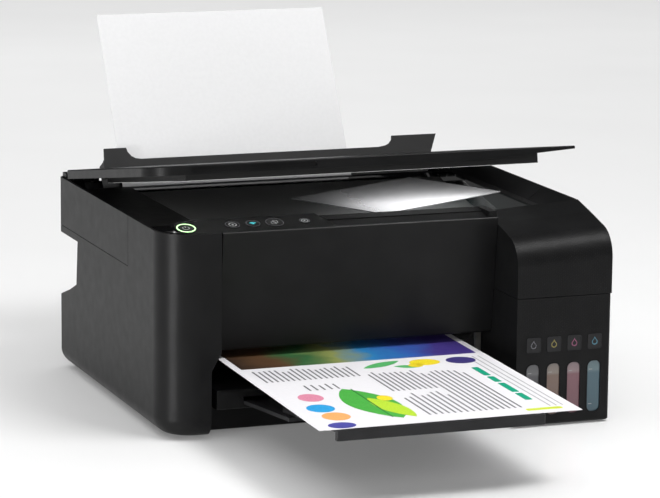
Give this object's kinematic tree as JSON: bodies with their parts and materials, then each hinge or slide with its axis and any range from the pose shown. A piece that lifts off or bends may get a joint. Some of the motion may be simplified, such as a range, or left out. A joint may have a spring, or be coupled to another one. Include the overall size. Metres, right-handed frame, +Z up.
{
  "type": "ink tank inkjet printer",
  "caption": "Desktop inkjet printer with flatbed scanner under a hinged lid, rear paper support, front output tray and refillable ink tanks under a hinged cover.",
  "frame": {"origin": "middle of the footprint on the desk, under the feet", "axes": "+X to the right as seen from the front, +Y to the back, +Z up; the front faces -Y"},
  "size_m": [0.375, 0.5964, 0.304],
  "materials": {
    "case": "satin moulded charcoal",
    "inner_plastic": "satin black",
    "gloss": "polished black",
    "button": "polished black",
    "tray": "satin black",
    "rubber": "matt",
    "steel": "galvanised",
    "shaft_steel": "ground",
    "motor": "drawn can",
    "board": "green solder mask",
    "white_plastic": "natural acetal",
    "pad": "white foam backed sheet",
    "belt": "toothed belt",
    "glass": "clear",
    "tube": "translucent",
    "paper": "plain paper",
    "photo_paper": "glossy photo paper",
    "print": "printed paper",
    "ink_black": "clear bottle with black ink",
    "ink_yellow": "clear bottle with yellow ink",
    "ink_magenta": "clear bottle with magenta ink",
    "ink_cyan": "clear bottle with cyan ink"
  },
  "bodies": {
    "printer": {"base_pan": "inner_plastic", "left_housing": "case", "right_housing": "case", "upper_housing": "case", "rear_cover": "case", "front_panel": "case", "front_ledge": "case", "control_console": "gloss", "output_frame": "case", "rubber_feet": "rubber", "chassis_frame": "steel", "carriage_rail": "shaft_steel", "platen": "inner_plastic", "drive_motors": "motor", "maintenance_station": "white_plastic", "main_board": "board", "power_supply": "inner_plastic", "power_inlet": "inner_plastic", "usb_port": "shaft_steel", "case_screws": "steel", "tank_housing": "case", "ink_tubes": "tube", "feed_slope": "inner_plastic", "carriage_belt": "belt", "ink_tank_black": "ink_black", "ink_tank_yellow": "ink_yellow", "ink_tank_magenta": "ink_magenta", "ink_tank_cyan": "ink_cyan"},
    "scanner_unit": {"scanner_base": "inner_plastic", "scan_bezel": "case", "scan_glass": "glass"},
    "scanner_lid": {"scanner_lid": "case", "lid_pad": "pad"},
    "carriage": {"carriage": "inner_plastic"},
    "drive_pulley": {"drive_pulley": "white_plastic"},
    "idler_pulley": {"idler_pulley": "white_plastic"},
    "feed_roller": {"feed_roller": "shaft_steel"},
    "idler_gear": {"idler_gear": "white_plastic"},
    "motor_pinion": {"motor_pinion": "white_plastic"},
    "eject_roller": {"eject_roller": "rubber"},
    "star_wheels": {"star_wheels": "steel"},
    "pickup_roller": {"pickup_roller": "rubber"},
    "scan_sensor": {"scan_sensor": "inner_plastic"},
    "tank_cover": {"tank_cover": "case"},
    "paper_support": {"paper_support": "case"},
    "edge_guide": {"edge_guide": "inner_plastic"},
    "tray_lower": {"tray_lower": "tray"},
    "tray_upper": {"tray_upper": "tray"},
    "rear_sheet": {"rear_sheet": "paper"},
    "printed_sheet": {"printed_sheet": "print"},
    "photo_card": {"photo_card": "photo_paper"},
    "tank_cap_black": {"tank_cap_black": "rubber"},
    "tank_cap_yellow": {"tank_cap_yellow": "rubber"},
    "tank_cap_magenta": {"tank_cap_magenta": "rubber"},
    "tank_cap_cyan": {"tank_cap_cyan": "rubber"},
    "power_button": {"power_button": "button"},
    "info_button": {"info_button": "button"},
    "network_button": {"network_button": "button"},
    "copy_button": {"copy_button": "button"},
    "stop_button": {"stop_button": "button"}
  },
  "joints": [
    {"name": "scanner_unit_hinge", "type": "hinge", "parent": "printer", "child": "scanner_unit", "pos_m": [0, 0.153, 0.1705], "axis": [-1, 0, 0], "range_deg": [0, 30]},
    {"name": "scanner_lid_hinge", "type": "hinge", "parent": "scanner_unit", "child": "scanner_lid", "pos_m": [0, 0.153, 0.1705], "axis": [-1, 0, 0], "range_deg": [-9.6, 60]},
    {"name": "scan_sensor_slide", "type": "slide", "parent": "scanner_unit", "child": "scan_sensor", "axis": [1, 0, 0], "range_m": [0, 0.3]},
    {"name": "photo_card_lift", "type": "slide", "parent": "scanner_unit", "child": "photo_card", "axis": [0, 0, 1], "range_m": [0, 0.008]},
    {"name": "tank_cover_hinge", "type": "hinge", "parent": "printer", "child": "tank_cover", "pos_m": [0.145, -0.1045, 0.1654], "axis": [-1, 0, 0], "range_deg": [0, 55]},
    {"name": "carriage_slide", "type": "slide", "parent": "printer", "child": "carriage", "axis": [1, 0, 0], "range_m": [-0.268, 0]},
    {"name": "drive_pulley_spin", "type": "hinge", "parent": "printer", "child": "drive_pulley", "pos_m": [-0.158, 0.002, 0.11], "axis": [0, 0, 1], "range_deg": [-1850, 10]},
    {"name": "idler_pulley_spin", "type": "hinge", "parent": "printer", "child": "idler_pulley", "pos_m": [0.162, 0.002, 0.11], "axis": [0, 0, 1], "range_deg": [-1850, 10]},
    {"name": "feed_roller_spin", "type": "hinge", "parent": "printer", "child": "feed_roller", "pos_m": [0, -0.005, 0.0582], "axis": [1, 0, 0], "continuous": true},
    {"name": "idler_gear_spin", "type": "hinge", "parent": "printer", "child": "idler_gear", "pos_m": [0, -0.04836, 0.06653], "axis": [1, 0, 0], "continuous": true},
    {"name": "motor_pinion_spin", "type": "hinge", "parent": "printer", "child": "motor_pinion", "pos_m": [0, 0.01966, 0.03763], "axis": [1, 0, 0], "continuous": true},
    {"name": "eject_roller_spin", "type": "hinge", "parent": "printer", "child": "eject_roller", "pos_m": [0, -0.084, 0.0605], "axis": [1, 0, 0], "continuous": true},
    {"name": "star_wheels_spin", "type": "hinge", "parent": "printer", "child": "star_wheels", "pos_m": [0, -0.084, 0.0704], "axis": [1, 0, 0], "continuous": true},
    {"name": "pickup_roller_spin", "type": "hinge", "parent": "printer", "child": "pickup_roller", "pos_m": [0, 0.09533, 0.07786], "axis": [1, 0, 0], "continuous": true},
    {"name": "paper_support_slide", "type": "slide", "parent": "printer", "child": "paper_support", "axis": [0, 0.4848, 0.8746], "range_m": [0, 0.07]},
    {"name": "edge_guide_slide", "type": "slide", "parent": "printer", "child": "edge_guide", "axis": [1, 0, 0], "range_m": [-0.005, 0]},
    {"name": "rear_sheet_slide", "type": "slide", "parent": "printer", "child": "rear_sheet", "axis": [0, 0.4848, 0.8746], "range_m": [0, 0.15]},
    {"name": "tray_lower_slide", "type": "slide", "parent": "printer", "child": "tray_lower", "axis": [0, -0.9954, 0.0958], "range_m": [-0.108, 0]},
    {"name": "tray_upper_slide", "type": "slide", "parent": "tray_lower", "child": "tray_upper", "axis": [0, -0.9954, 0.0958], "range_m": [-0.1155, 0]},
    {"name": "printed_sheet_slide", "type": "slide", "parent": "printer", "child": "printed_sheet", "axis": [0, -0.9998, -0.0178], "range_m": [0, 0.2]},
    {"name": "tank_cap_black_pull", "type": "slide", "parent": "printer", "child": "tank_cap_black", "axis": [0, 0, 1], "range_m": [0, 0.012]},
    {"name": "tank_cap_yellow_pull", "type": "slide", "parent": "printer", "child": "tank_cap_yellow", "axis": [0, 0, 1], "range_m": [0, 0.012]},
    {"name": "tank_cap_magenta_pull", "type": "slide", "parent": "printer", "child": "tank_cap_magenta", "axis": [0, 0, 1], "range_m": [0, 0.012]},
    {"name": "tank_cap_cyan_pull", "type": "slide", "parent": "printer", "child": "tank_cap_cyan", "axis": [0, 0, 1], "range_m": [0, 0.012]},
    {"name": "power_button_press", "type": "slide", "parent": "printer", "child": "power_button", "axis": [0, -0.2504, 0.9681], "range_m": [-0.0007, 0], "stiffness_N_per_m": 300},
    {"name": "info_button_press", "type": "slide", "parent": "printer", "child": "info_button", "axis": [0, -0.2504, 0.9681], "range_m": [-0.0007, 0], "stiffness_N_per_m": 300},
    {"name": "network_button_press", "type": "slide", "parent": "printer", "child": "network_button", "axis": [0, -0.2504, 0.9681], "range_m": [-0.0007, 0], "stiffness_N_per_m": 300},
    {"name": "copy_button_press", "type": "slide", "parent": "printer", "child": "copy_button", "axis": [0, -0.2504, 0.9681], "range_m": [-0.0007, 0], "stiffness_N_per_m": 300},
    {"name": "stop_button_press", "type": "slide", "parent": "printer", "child": "stop_button", "axis": [0, -0.2504, 0.9681], "range_m": [-0.0007, 0], "stiffness_N_per_m": 300}
  ],
  "couplings": [
    {"joint": "drive_pulley_spin", "follows": "carriage_slide", "rad_per_m": 117.65},
    {"joint": "idler_pulley_spin", "follows": "carriage_slide", "rad_per_m": 117.65},
    {"joint": "idler_gear_spin", "follows": "feed_roller_spin", "ratio": -1.2},
    {"joint": "motor_pinion_spin", "follows": "feed_roller_spin", "ratio": -3},
    {"joint": "eject_roller_spin", "follows": "feed_roller_spin", "ratio": 1.5},
    {"joint": "star_wheels_spin", "follows": "feed_roller_spin", "ratio": -1.3043}
  ]
}
